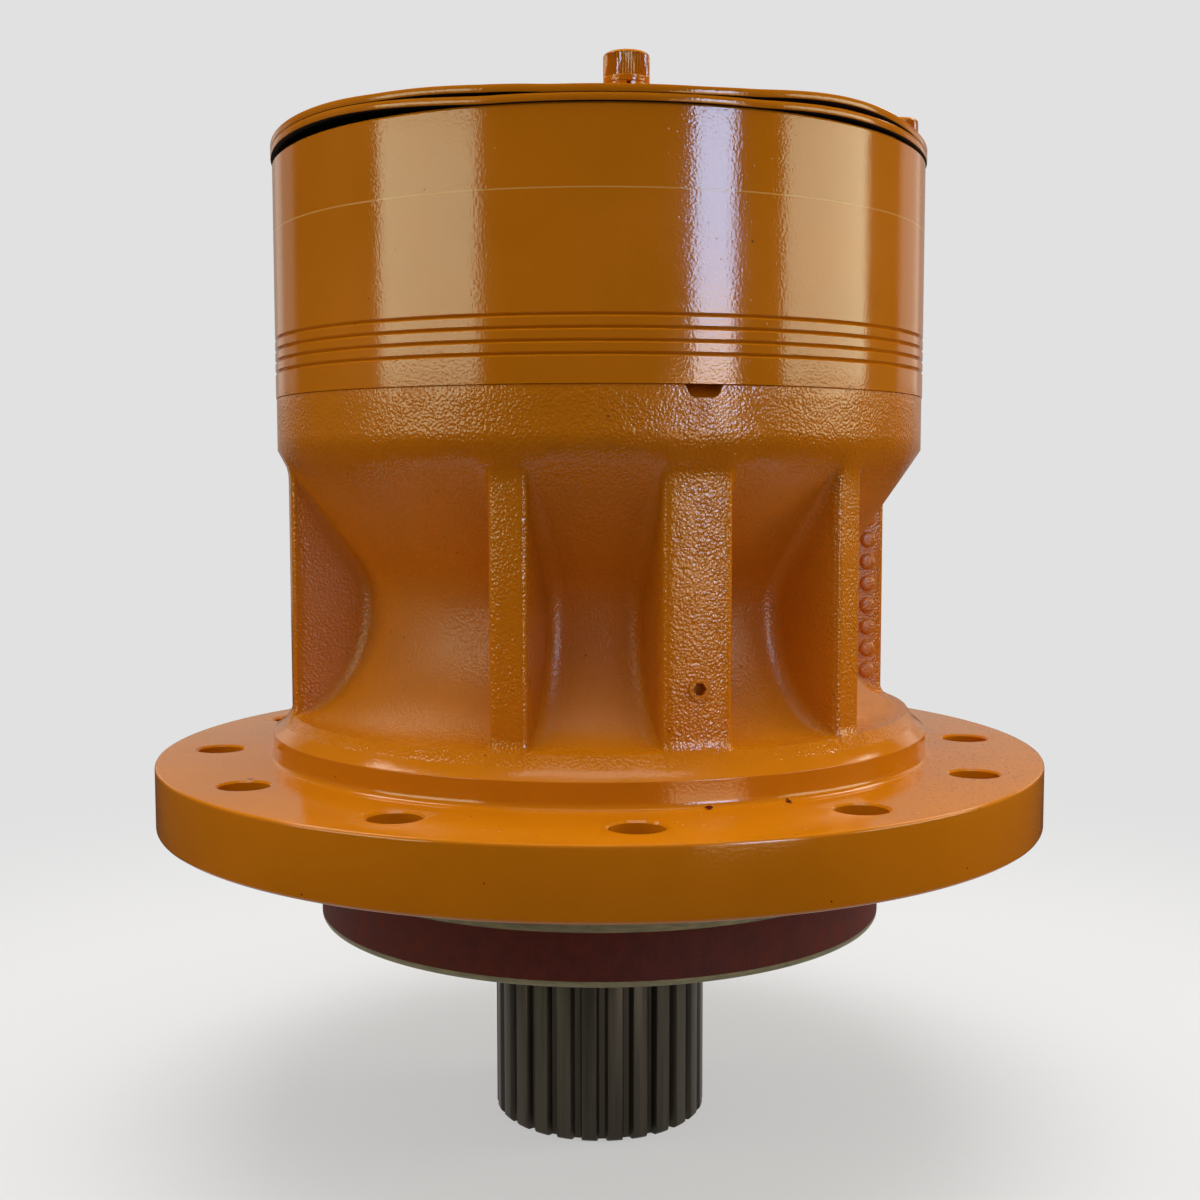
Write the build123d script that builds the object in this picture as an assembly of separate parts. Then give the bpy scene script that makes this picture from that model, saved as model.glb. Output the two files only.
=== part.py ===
from build123d import *
import os
from math import acos, asin, cos, degrees, hypot, pi, radians, sin, tan

os.makedirs("parts", exist_ok=True)

# Swing gearbox of an excavator, with two planetary stages, standing on its output shaft.
# Sizes are in millimetres. Height 0 is the seating face under the flange and +Z points to the motor end.
# Angles are in degrees. They are counted from the front (-Y) towards the right (+X) where a name says turn,
# and from +X towards +Y inside the gear train.

# Fits and clearances
running_fit = 0.05
air_gap = 0.3
bolt_clearance = 0.75
web_clearance = 1.5
cut_margin = 1.0

# Mounting flange and spigot
flange_radius = 210.0
flange_thickness = 29.5
flange_edge_chamfer = 1.5
flange_bolt_edge = 27.2
flange_bolt_count = 12
flange_hole_radius = 11.0
pilot_radius = 136.5
pilot_length = 25.0
spigot_relief = 1.6
spigot_length = 48.4
spigot_chamfer = 2.2

# Casting above the flange
casting_height = 196.0
collar_radius = 156.4
collar_height = 11.7
collar_foot_chamfer = 3.6
collar_shoulder_height = 4.3
collar_shoulder_width = 5.3
rib_foot_rise = 9.3
rib_outer_radius = 147.5
band_step = 0.3
band_height = 24.0
waist_radius = 112.3
waist_drop = 92.2
waist_arc_radius = 30.0
bowl_lean = 34.2
flare_steps = 4
waist_arc_steps = 2
rib_root_chamfer = 8.0

# Ribs, in three alike groups of a wide rib between two narrow ones
rib_groups = 3
rib_group_turn = 11.2
rib_spread = 30.0
wide_rib_width = 29.0
narrow_rib_width = 16.0

# Pry notches in the top edge of the casting, one over each wide rib
notch_width = 18.0
notch_floor_width = 14.0
notch_depth = 5.4
notch_reach = 8.0

# Grease plug in the first wide rib
plug_height = 75.8
plug_radius = 4.4
plug_length = 14.0
plug_stand_out = 0.8
plug_hex = 5.0
plug_hex_depth = 5.0
grease_bore_radius = 2.5

# Inside of the casting
lower_shoulder_height = 22.0
upper_shoulder_drop = 98.0
lower_shoulder_width = 10.0
upper_shoulder_width = 8.0
waist_taper_height = 12.0
bowl_bore_radius = 126.0

# Tapered roller bearings, and the shares of the width or of the ring's depth that their rings take
lower_bearing_bore = 65.0
lower_bearing_outer = 100.0
lower_bearing_width = 45.0
upper_bearing_bore = 55.0
upper_bearing_outer = 85.0
upper_bearing_width = 38.0
cone_rib_width = 0.11
cone_width = 0.86
cone_rib_depth = 0.47
cone_track_depth = 0.36
cone_track_fall = 0.14
cup_width = 0.8
cup_track_depth = 0.16
cup_track_fall = 0.2

# Output shaft
shaft_length_below = 150.2
output_spline_teeth = 26
output_spline_tip = 51.1
output_spline_depth = 4.0
output_spline_top_width = 6.9
output_spline_floor_width = 3.0
output_spline_length = 86.0
output_spline_turn = 3.75
output_end_chamfer = 1.5
centre_drill_radius = 6.0
centre_drill_depth = 10.0
shaft_neck_radius = 50.0
shaft_collar_radius = 74.0
shaft_collar_height = 8.0
shaft_barrel_radius = 61.0
shaft_top_drop = 6.0
carrier_spline_teeth = 20
carrier_spline_tip = 48.0
carrier_spline_depth = 3.5
carrier_spline_top_width = 6.5
carrier_spline_floor_width = 4.5
nut_thread_radius = 52.0
nut_radius = 70.0
nut_height = 14.0
nut_slot_count = 4
nut_slot_width = 12.0
nut_slot_depth = 5.0

# Shaft seal and its retainer
sleeve_wall = 4.0
sleeve_radius = 60.0
sleeve_length = 18.0
seal_radius = 75.0
seal_width = 10.0
seal_body_wall = 5.0
seal_web = 4.0
retainer_radius = 116.0
retainer_thickness = 11.0
retainer_recess = 1.0
retainer_screw_circle = 108.0
retainer_screw_count = 6
retainer_screw_radius = 4.0
retainer_head_radius = 6.5
retainer_head_height = 5.0
retainer_screw_engagement = 14.0

# Ring gear and what holds it to the casting
ring_wall = 32.5
ring_height = 106.2
ring_edge_chamfer = 1.0
ring_groove_count = 4
ring_groove_rise = 11.4
ring_groove_pitch = 5.0
ring_groove_width = 1.8
ring_groove_depth = 0.9
ring_screw_edge = 13.5
ring_screw_count = 8
ring_screw_turn = 22.5
ring_screw_radius = 6.0
ring_screw_head_radius = 9.0
ring_screw_head_height = 12.0
ring_screw_sink = 1.0
ring_screw_engagement = 20.0
dowel_radius = 5.0
dowel_length = 24.0
dowel_turns = (52.0, 232.0)
drill_run_out = 4.0

# Gear teeth
gear_module = 4.0
pressure_angle = 20.0
ring_teeth = 60
first_sun_teeth = 12
first_planet_teeth = 24
second_sun_teeth = 24
second_planet_teeth = 18
profile_shift = 0.3
backlash = 0.4
tip_clearance = 0.25
ring_addendum = 0.875

# Second stage, carried by the output shaft
second_planet_count = 4
second_planet_turn = 45.0
second_face_width = 44.0
second_pin_radius = 14.0
second_bush_wall = 5.0
second_carrier_radius = 108.0
second_plate_thickness = 22.0
second_top_plate_thickness = 10.0
second_hub_radius = 66.0
second_hub_drop = 16.0
snap_ring_width = 2.5
snap_ring_bite = 3.0
snap_ring_rim = 5.0
snap_ring_gap = 14.0

# First stage, carried by the second sun gear
first_planet_count = 3
first_planet_turn = 90.0
first_face_width = 22.0
first_pin_radius = 10.0
first_bush_wall = 5.0
first_carrier_radius = 104.0
first_plate_thickness = 10.0
first_top_plate_thickness = 6.0
stage_gap = 3.0
sun_lip_thickness = 2.0
button_radius = 18.0
button_height = 10.0
thrust_washer_thickness = 2.0
thrust_washer_width = 8.0
motor_spline_teeth = 14
motor_spline_radius = 15.0
motor_spline_depth = 2.0
motor_spline_top_width = 2.2
motor_spline_floor_width = 2.4

# Shipping covers over the motor end
cover_overhang = 0.7
cover_thickness = 3.0
lower_cover_lift = 3.6
upper_cover_lift = 5.2
cover_screw_turns = (0.0, 75.0, 180.0, 255.0)
cover_screw_edge = 12.5
cover_screw_radius = 6.0
cover_screw_head_radius = 9.0
cover_screw_head_height = 12.0
cover_screw_head_chamfer = 1.2
cover_screw_engagement = 22.0
cover_screw_hex = 10.0
cover_screw_hex_depth = 6.0
spring_washer_thickness = 2.5
spring_washer_radius = 9.05
spring_washer_split = 1.5
cover_seat_margin = 2.0
cover_bend_overrun = 1.0

# The angle of the front
front_angle = -90.0

# Radii that follow from the sizes above. The ring gear's wall is counted from its pitch circle
ring_pitch_radius = gear_module * ring_teeth / 2
ring_radius = ring_pitch_radius + ring_wall
flange_bolt_circle = flange_radius - flange_bolt_edge
band_radius = ring_radius - band_step
ring_screw_circle = ring_radius - ring_screw_edge
cover_radius = ring_radius + cover_overhang
cover_screw_circle = ring_radius - cover_screw_edge

# Heights that follow from the sizes above
collar_top = flange_thickness + collar_height
rib_foot = collar_top + rib_foot_rise
waist_height = casting_height - waist_drop
waist_arc_width = waist_arc_radius * (1 - cos(radians(bowl_lean)))
waist_arc_rise = waist_arc_radius * sin(radians(bowl_lean))
bowl_slope_width = rib_outer_radius - waist_radius - waist_arc_width
rib_top = waist_height + waist_arc_rise + bowl_slope_width / tan(radians(bowl_lean))
ring_top = casting_height + ring_height
upper_shoulder_height = casting_height - upper_shoulder_drop
lower_cone_face = lower_shoulder_height - lower_bearing_width
upper_cone_face = upper_shoulder_height + upper_bearing_width
shaft_collar_foot = lower_cone_face - shaft_collar_height
sleeve_foot = shaft_collar_foot - sleeve_length
retainer_foot = retainer_recess - spigot_length
retainer_top = retainer_foot + retainer_thickness
nut_top = upper_cone_face + nut_height
shaft_foot = -shaft_length_below
output_spline_top = shaft_foot + output_spline_length
shaft_top = casting_height - shaft_top_drop
snap_ring_foot = shaft_top - 2 * snap_ring_width

second_plate_top = casting_height
second_plate_foot = second_plate_top - second_plate_thickness
second_hub_foot = second_plate_foot - second_hub_drop
second_planet_foot = second_plate_top + thrust_washer_thickness + air_gap
second_planet_top = second_planet_foot + second_face_width
second_top_plate_foot = second_planet_top + air_gap + thrust_washer_thickness
second_top_plate_top = second_top_plate_foot + second_top_plate_thickness
first_plate_foot = second_top_plate_top + stage_gap
first_plate_top = first_plate_foot + first_plate_thickness
first_planet_foot = first_plate_top + thrust_washer_thickness + air_gap
first_planet_top = first_planet_foot + first_face_width
first_top_plate_foot = first_planet_top + air_gap + thrust_washer_thickness
first_top_plate_top = first_top_plate_foot + first_top_plate_thickness
second_sun_top = first_plate_top - sun_lip_thickness

# Radii of the gear train that follow from the tooth counts
ring_tooth_tip = ring_pitch_radius - ring_addendum * gear_module
ring_tooth_root = ring_pitch_radius + (1 - profile_shift + tip_clearance) * gear_module
first_centre_distance = gear_module * (first_sun_teeth + first_planet_teeth) / 2
second_centre_distance = gear_module * (second_sun_teeth + second_planet_teeth) / 2
first_bush_radius = first_pin_radius + first_bush_wall
second_bush_radius = second_pin_radius + second_bush_wall
ring_screw_turns = [ring_screw_turn + 360 * step / ring_screw_count for step in range(ring_screw_count)]


def turned(*points):
    """A solid of revolution about Z from the corners (radius, height) of its section."""
    corners = [(radius, 0, height) for radius, height in points]
    return revolve(make_face(Polyline(*corners, close=True)), Axis.Z)


def disc(radius, low, high):
    """A round disc or bar about Z."""
    return Pos(0, 0, low) * Cylinder(radius, high - low, align=(Align.CENTER, Align.CENTER, Align.MIN))


def tube(outer, inner, low, high):
    """A hollow cylinder about Z."""
    return disc(outer, low, high) - disc(inner, low, high)


def block(width, depth, low, high):
    """An upright box with its front face on the axis, running towards the front."""
    return Pos(0, 0, low) * Box(width, depth, high - low, align=(Align.CENTER, Align.MAX, Align.MIN))


def place(radius, turn):
    """A place on a circle, its turn counted from the front."""
    return Rot(0, 0, turn) * Pos(0, -radius, 0)


def turns(count, first=0.0):
    """The evenly spaced turns of a pattern."""
    return [first + 360 * step / count for step in range(count)]


def hexagon(across_flats, low, high):
    """A hexagonal bar about Z."""
    outline = RegularPolygon(across_flats / 2, 6, major_radius=False)
    return extrude(Pos(0, 0, low) * outline, high - low)


def involute(angle):
    """The involute function of a pressure angle in radians."""
    return tan(angle) - angle


def tip_radius(teeth, shift):
    """The tip radius of an external gear."""
    return gear_module * (teeth / 2 + 1 + shift)


def root_radius(teeth, shift):
    """The root radius of an external gear."""
    return gear_module * (teeth / 2 - 1 + shift - tip_clearance)


def tooth_half_angle(teeth, shift, play, radius):
    """Half the angle that an involute tooth covers at a radius. play widens it on the pitch circle."""
    slope = radians(pressure_angle)
    pitch_radius = gear_module * teeth / 2
    width = gear_module * (pi / 2 + 2 * shift * tan(slope)) + play
    here = acos(min(1.0, pitch_radius * cos(slope) / radius))
    return width / (2 * pitch_radius) + involute(slope) - involute(here)


def toothed_bar(teeth, shift, play, tip, root, angle, low, high):
    """A toothed bar about Z with one tooth centred on the angle, each flank in two flats."""
    flank = (root, (tip + root) / 2, tip)
    corners = []
    for step in range(teeth):
        centre = radians(angle) + 2 * pi * step / teeth
        for side, radii in ((-1, flank), (1, reversed(flank))):
            for radius in radii:
                at = centre + side * tooth_half_angle(teeth, shift, play, radius)
                corners.append((radius * cos(at), radius * sin(at)))
    return extrude(Pos(0, 0, low) * make_face(Polyline(*corners, close=True)), high - low)


def gear(teeth, shift, angle, low, high, grow=0.0):
    """An external gear about Z, or with grow the socket that it slides into."""
    tip = tip_radius(teeth, shift) + grow
    root = root_radius(teeth, shift) + grow
    return toothed_bar(teeth, shift, 2 * grow - backlash / 2, tip, root, angle, low, high)


def spline(teeth, tip, depth, top_width, floor_width, angle, low, high, grow=0.0):
    """A straight-sided spline about Z, or with grow the socket that it slides into."""
    outer = tip + grow
    root = tip - depth + grow
    top_half = (top_width / 2 + grow) / outer
    foot_half = pi / teeth - (floor_width / 2 - grow) / root
    corners = []
    for step in range(teeth):
        centre = radians(angle) + 2 * pi * step / teeth
        for radius, offset in ((root, -foot_half), (outer, -top_half), (outer, top_half), (root, foot_half)):
            corners.append((radius * cos(centre + offset), radius * sin(centre + offset)))
    return extrude(Pos(0, 0, low) * make_face(Polyline(*corners, close=True)), high - low)


def planet_angle(angle, planet_teeth):
    """The angle of a planet's tooth that fits the ring gear, which has a space centred on angle 0."""
    return angle - angle * ring_teeth / planet_teeth


def sun_angle(angle, planet_teeth, sun_teeth):
    """The angle of a sun's tooth that fits a planet standing at this angle."""
    planet_part = planet_teeth * (angle + 180 - planet_angle(angle, planet_teeth))
    return angle - (180 - planet_part) / sun_teeth


def casting_outside():
    """The casting's outside as turned, with the ribs not yet cut free."""
    spigot_radius = pilot_radius - spigot_relief
    band_foot = casting_height - band_height
    return turned(
        (0, -spigot_length),
        (spigot_radius - spigot_chamfer, -spigot_length),
        (spigot_radius, spigot_chamfer - spigot_length),
        (spigot_radius, -pilot_length),
        (pilot_radius, -pilot_length),
        (pilot_radius, 0),
        (flange_radius - flange_edge_chamfer, 0),
        (flange_radius, flange_edge_chamfer),
        (flange_radius, flange_thickness - flange_edge_chamfer),
        (flange_radius - flange_edge_chamfer, flange_thickness),
        (collar_radius + collar_foot_chamfer, flange_thickness),
        (collar_radius, flange_thickness + collar_foot_chamfer),
        (collar_radius, collar_top),
        (collar_radius - collar_shoulder_width, collar_top + collar_shoulder_height),
        (rib_outer_radius, rib_foot),
        (rib_outer_radius, rib_top),
        (band_radius, band_foot),
        (band_radius, casting_height),
        (0, casting_height),
    )


def casting_inside():
    """The hollow of the casting: retainer seat, two bearing seats with their shoulders, and the bowl."""
    lower_inner = lower_bearing_outer - lower_shoulder_width
    upper_inner = upper_bearing_outer - upper_shoulder_width
    taper_top = upper_shoulder_height - upper_shoulder_width
    bowl_side = second_plate_foot - drill_run_out
    return turned(
        (0, -spigot_length),
        (retainer_radius, -spigot_length),
        (retainer_radius, retainer_top),
        (lower_bearing_outer, retainer_top),
        (lower_bearing_outer, lower_shoulder_height),
        (lower_inner, lower_shoulder_height),
        (lower_inner, taper_top - waist_taper_height),
        (upper_inner, taper_top),
        (upper_inner, upper_shoulder_height),
        (upper_bearing_outer, upper_shoulder_height),
        (upper_bearing_outer, upper_cone_face + drill_run_out),
        (bowl_bore_radius, bowl_side),
        (bowl_bore_radius, casting_height),
        (0, casting_height),
    )


def pocket_section():
    """The section of the hollows between the ribs: a quarter ellipse up to the waist, an arc and a slope."""
    outer = rib_outer_radius + air_gap
    width = outer - waist_radius
    corners = []
    for step in range(flare_steps + 1):
        swing = pi / 2 * step / flare_steps
        corners.append((outer - width * sin(swing), waist_height - (waist_height - rib_foot) * cos(swing)))
    for step in range(1, waist_arc_steps + 1):
        swing = radians(bowl_lean) * step / waist_arc_steps
        corners.append((
            waist_radius + waist_arc_radius * (1 - cos(swing)),
            waist_height + waist_arc_radius * sin(swing),
        ))
    corners.append((outer, rib_top + air_gap / tan(radians(bowl_lean))))
    return corners


def pockets():
    """The hollows between the ribs, their corners against the ribs flared out."""
    hollow = turned(*pocket_section())
    wide = block(wide_rib_width, flange_radius, 0, casting_height)
    narrow = block(narrow_rib_width, flange_radius, 0, casting_height)
    for turn in turns(rib_groups, rib_group_turn):
        hollow -= Rot(0, 0, turn) * wide
        hollow -= Rot(0, 0, turn - rib_spread) * narrow
        hollow -= Rot(0, 0, turn + rib_spread) * narrow
    roots = []
    for side in hollow.faces().filter_by(GeomType.PLANE):
        for edge in side.edges():
            middle = edge.position_at(0.5)
            if hypot(middle.X, middle.Y) < rib_outer_radius:
                roots.append(edge)
    return chamfer(roots, rib_root_chamfer)


def casting():
    """The one-piece casting: spigot, flange, ribbed waist and bowl."""
    body = casting_outside() - pockets() - casting_inside()
    hole = disc(flange_hole_radius, 0, flange_thickness)
    body -= [place(flange_bolt_circle, turn) * hole for turn in turns(flange_bolt_count)]
    for turn in turns(rib_groups, rib_group_turn):
        body -= Rot(0, 0, turn) * pry_notch()
    tapped = disc(ring_screw_radius, casting_height - ring_screw_engagement - drill_run_out, casting_height)
    body -= [place(ring_screw_circle, turn) * tapped for turn in ring_screw_turns]
    dowel_hole = disc(dowel_radius, casting_height - dowel_length / 2, casting_height)
    body -= [place(ring_screw_circle, turn) * dowel_hole for turn in dowel_turns]
    tapped_end = retainer_top + retainer_screw_engagement + drill_run_out
    tapped = disc(retainer_screw_radius, retainer_top, tapped_end)
    body -= [place(retainer_screw_circle, turn) * tapped for turn in turns(retainer_screw_count)]
    plug_seat = disc(plug_radius, plug_stand_out, plug_length)
    passage = disc(grease_bore_radius, 0, rib_outer_radius - shaft_barrel_radius)
    return body - plug_place() * plug_seat - plug_place() * passage


def pry_notch():
    """A sloping notch in the front of the casting's top edge."""
    floor = casting_height - notch_depth
    outline = Polyline(
        (-notch_floor_width / 2, floor),
        (notch_floor_width / 2, floor),
        (notch_width / 2, casting_height),
        (-notch_width / 2, casting_height),
        close=True,
    )
    return Pos(0, notch_reach - band_radius, 0) * extrude(Plane.XZ * make_face(outline), 2 * notch_reach)


def plug_place():
    """The mouth of the grease bore, looking into the first wide rib."""
    mouth = Pos(0, -rib_outer_radius - plug_stand_out, plug_height)
    return Rot(0, 0, rib_group_turn) * mouth * Rot(-90, 0, 0)


def grease_plug():
    """The socket set plug in the first wide rib."""
    return plug_place() * (disc(plug_radius, 0, plug_length) - hexagon(plug_hex, 0, plug_hex_depth))


def ring_gear():
    """The ring gear of both stages, with lifting grooves outside and counterbores for its screws."""
    corners = [(ring_pitch_radius, casting_height), (ring_radius, casting_height)]
    for step in range(ring_groove_count):
        middle = casting_height + ring_groove_rise + step * ring_groove_pitch
        corners.append((ring_radius, middle - ring_groove_width / 2))
        corners.append((ring_radius - ring_groove_depth, middle))
        corners.append((ring_radius, middle + ring_groove_width / 2))
    corners.append((ring_radius, ring_top - ring_edge_chamfer))
    corners.append((ring_radius - ring_edge_chamfer, ring_top))
    corners.append((ring_pitch_radius, ring_top))
    body = turned(*corners)
    body += tube(ring_screw_circle, ring_tooth_tip - cut_margin, casting_height, ring_top)
    body -= toothed_bar(
        ring_teeth, -profile_shift, backlash / 2, ring_tooth_root, ring_tooth_tip, 0, casting_height, ring_top
    )
    seat = ring_top - ring_screw_sink - ring_screw_head_height
    hole = disc(ring_screw_radius + bolt_clearance, casting_height, seat)
    hole += disc(ring_screw_head_radius + bolt_clearance, seat, ring_top)
    body -= [place(ring_screw_circle, turn) * hole for turn in ring_screw_turns]
    dowel_hole = disc(dowel_radius, casting_height, casting_height + dowel_length / 2)
    body -= [place(ring_screw_circle, turn) * dowel_hole for turn in dowel_turns]
    tapped = disc(cover_screw_radius, ring_top - cover_screw_engagement - drill_run_out, ring_top)
    return body - [place(cover_screw_circle, turn) * tapped for turn in cover_screw_turns]


def ring_screws():
    """The sunk socket screws that hold the ring gear to the casting."""
    seat = ring_top - ring_screw_sink - ring_screw_head_height
    screw = disc(ring_screw_radius, casting_height - ring_screw_engagement, seat)
    screw += disc(ring_screw_head_radius, seat, seat + ring_screw_head_height)
    return [place(ring_screw_circle, turn) * screw for turn in ring_screw_turns]


def dowels():
    """The two dowels that hold the ring gear to its place on the casting."""
    half = dowel_length / 2
    dowel = disc(dowel_radius, casting_height - half, casting_height + half)
    return [place(ring_screw_circle, turn) * dowel for turn in dowel_turns]


def bearing(bore, outer, width, cone_face, way):
    """A tapered roller bearing as cup, rollers and cone. way is 1 where the cup is above the cone's back."""
    depth = outer - bore
    lip = cone_rib_width * width
    cone_end = cone_width * width
    cup_start = width - cup_width * width

    def cone_track(at):
        return bore + depth * (cone_track_depth - cone_track_fall * (at - lip) / (cone_end - lip))

    def cup_track(at):
        return outer - depth * (cup_track_depth + cup_track_fall * (at - cup_start) / (width - cup_start))

    def section(*points):
        return turned(*[(radius, cone_face + way * at) for radius, at in points])

    cone = section(
        (bore, 0),
        (bore + cone_rib_depth * depth, 0),
        (bore + cone_rib_depth * depth, lip),
        (cone_track(lip), lip),
        (cone_track(cone_end), cone_end),
        (bore, cone_end),
    )
    roller_foot = lip + running_fit
    roller_top = cone_end - running_fit
    rollers = section(
        (cone_track(roller_foot) + running_fit, roller_foot),
        (cup_track(roller_foot) - running_fit, roller_foot),
        (cup_track(roller_top) - running_fit, roller_top),
        (cone_track(roller_top) + running_fit, roller_top),
    )
    cup = section(
        (outer, cup_start),
        (outer, width),
        (cup_track(width), width),
        (cup_track(cup_start), cup_start),
    )
    return cup, rollers, cone


def output_shaft():
    """The output shaft, from its driving splines over the bearing seats to the carrier splines."""
    journal = sleeve_radius - sleeve_wall
    neck_top = sleeve_foot - sleeve_wall
    thread_top = nut_top + drill_run_out / 2
    lower_seat_top = lower_cone_face + lower_bearing_width
    upper_seat_foot = upper_shoulder_height
    carrier_root = carrier_spline_tip - carrier_spline_depth
    body = turned(
        (0, output_spline_top),
        (shaft_neck_radius, output_spline_top),
        (shaft_neck_radius, neck_top),
        (journal, neck_top),
        (journal, shaft_collar_foot),
        (shaft_collar_radius, shaft_collar_foot),
        (shaft_collar_radius, lower_cone_face),
        (lower_bearing_bore, lower_cone_face),
        (lower_bearing_bore, lower_seat_top),
        (shaft_barrel_radius, lower_seat_top),
        (shaft_barrel_radius, upper_seat_foot),
        (upper_bearing_bore, upper_seat_foot),
        (upper_bearing_bore, upper_cone_face),
        (nut_thread_radius, upper_cone_face),
        (nut_thread_radius, thread_top),
        (0, thread_top),
    )
    inner_spline = spline(
        carrier_spline_teeth, carrier_spline_tip, carrier_spline_depth,
        carrier_spline_top_width, carrier_spline_floor_width, 0, thread_top, shaft_top,
    )
    groove_floor = carrier_spline_tip - snap_ring_bite
    groove_top = snap_ring_foot + snap_ring_width
    groove = tube(carrier_spline_tip + cut_margin, groove_floor, snap_ring_foot, groove_top)
    outer_spline = spline(
        output_spline_teeth, output_spline_tip, output_spline_depth,
        output_spline_top_width, output_spline_floor_width,
        front_angle + output_spline_turn, shaft_foot, output_spline_top,
    )
    envelope = turned(
        (0, shaft_foot),
        (output_spline_tip - output_end_chamfer, shaft_foot),
        (output_spline_tip, shaft_foot + output_end_chamfer),
        (output_spline_tip, output_spline_top),
        (0, output_spline_top),
    )
    centre = turned(
        (0, shaft_foot),
        (centre_drill_radius, shaft_foot),
        (0, shaft_foot + centre_drill_depth),
    )
    return body + (inner_spline - groove) + (outer_spline & envelope) - centre


def bearing_nut():
    """The slotted nut that sets the bearings."""
    nut = tube(nut_radius, nut_thread_radius, upper_cone_face, nut_top)
    slot = block(nut_slot_width, 2 * nut_slot_depth, upper_cone_face, nut_top)
    slot = Pos(0, nut_slot_depth - nut_radius, 0) * slot
    return nut - [Rot(0, 0, turn) * slot for turn in turns(nut_slot_count)]


def shaft_seal():
    """The lip seal in the retainer, open towards the bearing."""
    foot = retainer_foot
    lip = sleeve_radius + running_fit
    return turned(
        (lip, foot),
        (seal_radius, foot),
        (seal_radius, foot + seal_width),
        (seal_radius - seal_body_wall, foot + seal_width),
        (seal_radius - seal_body_wall, foot + seal_web),
        (lip + seal_web, foot + seal_web),
        (lip, foot + seal_width),
    )


def seal_retainer():
    """The round retainer under the lower bearing."""
    plate = tube(retainer_radius, seal_radius, retainer_foot, retainer_top)
    seat = retainer_foot + retainer_head_height + air_gap
    hole = disc(retainer_screw_radius + bolt_clearance, retainer_foot, retainer_top)
    hole += disc(retainer_head_radius + bolt_clearance, retainer_foot, seat)
    return plate - [place(retainer_screw_circle, turn) * hole for turn in turns(retainer_screw_count)]


def retainer_screws():
    """The socket screws of the retainer."""
    seat = retainer_foot + retainer_head_height + air_gap
    screw = disc(retainer_head_radius, seat - retainer_head_height, seat)
    screw += disc(retainer_screw_radius, seat, retainer_top + retainer_screw_engagement)
    return [place(retainer_screw_circle, turn) * screw for turn in turns(retainer_screw_count)]


def planet_places(count, first, distance):
    """The angle of each planet, and its place on the carrier."""
    return [
        (angle, Pos(distance * cos(radians(angle)), distance * sin(radians(angle)), 0))
        for angle in turns(count, first)
    ]


second_places = planet_places(second_planet_count, second_planet_turn, second_centre_distance)
first_places = planet_places(first_planet_count, first_planet_turn, first_centre_distance)


def windowed_body(radius, low, high, sun_teeth, planet_teeth, places):
    """The webs that join a carrier's two plates, clear of the sun and the planets."""
    webs = tube(radius, tip_radius(sun_teeth, profile_shift) + web_clearance, low, high)
    room = disc(tip_radius(planet_teeth, -profile_shift) + web_clearance, low, high)
    return webs - [spot * room for angle, spot in places]


def second_carrier():
    """The carrier of the second stage, splined to the output shaft."""
    body = disc(second_hub_radius, second_hub_foot, second_plate_foot)
    body += disc(second_carrier_radius, second_plate_foot, second_plate_top)
    body += windowed_body(
        second_carrier_radius, second_plate_top, second_top_plate_foot,
        second_sun_teeth, second_planet_teeth, second_places,
    )
    sun_room = tip_radius(second_sun_teeth, profile_shift) + web_clearance
    body += tube(second_carrier_radius, sun_room, second_top_plate_foot, second_top_plate_top)
    body -= spline(
        carrier_spline_teeth, carrier_spline_tip, carrier_spline_depth,
        carrier_spline_top_width, carrier_spline_floor_width,
        0, second_hub_foot, second_plate_top, running_fit,
    )
    body -= disc(carrier_spline_tip + snap_ring_rim + air_gap, snap_ring_foot, second_plate_top)
    pin_hole = disc(second_pin_radius, second_plate_foot, second_top_plate_top)
    return body - [spot * pin_hole for angle, spot in second_places]


def carrier_snap_ring():
    """The open snap ring that keeps the second carrier on the shaft."""
    ring = tube(
        carrier_spline_tip + snap_ring_rim, carrier_spline_tip - snap_ring_bite,
        snap_ring_foot, snap_ring_foot + snap_ring_width,
    )
    return ring - block(snap_ring_gap, nut_radius, snap_ring_foot, shaft_top)


def planet_pins(places, radius, low, high):
    """The pins of one stage."""
    return [spot * disc(radius, low, high) for angle, spot in places]


def thrust_washers(places, radius, lower_face, upper_face):
    """The thrust washers at both ends of each planet of one stage."""
    outer = radius + thrust_washer_width
    lower = tube(outer, radius, lower_face, lower_face + thrust_washer_thickness)
    upper = tube(outer, radius, upper_face - thrust_washer_thickness, upper_face)
    return [spot * washer for angle, spot in places for washer in (lower, upper)]


def planet(angle, spot, teeth, bush_radius, low, high):
    """A planet gear in mesh with the ring gear at its place."""
    wheel = gear(teeth, -profile_shift, planet_angle(angle, teeth), low, high)
    return spot * (wheel - disc(bush_radius, low, high))


def bush(spot, bush_radius, pin_radius, low, high):
    """The bush pressed into a planet, running on its pin."""
    return spot * tube(bush_radius, pin_radius + running_fit, low, high)


def second_sun():
    """The second sun gear, whose teeth also drive it from the first carrier."""
    angle = sun_angle(second_planet_turn, second_planet_teeth, second_sun_teeth)
    body = gear(second_sun_teeth, profile_shift, angle, second_planet_foot, second_sun_top)
    return body - disc(button_radius, second_planet_foot, second_sun_top)


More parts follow.
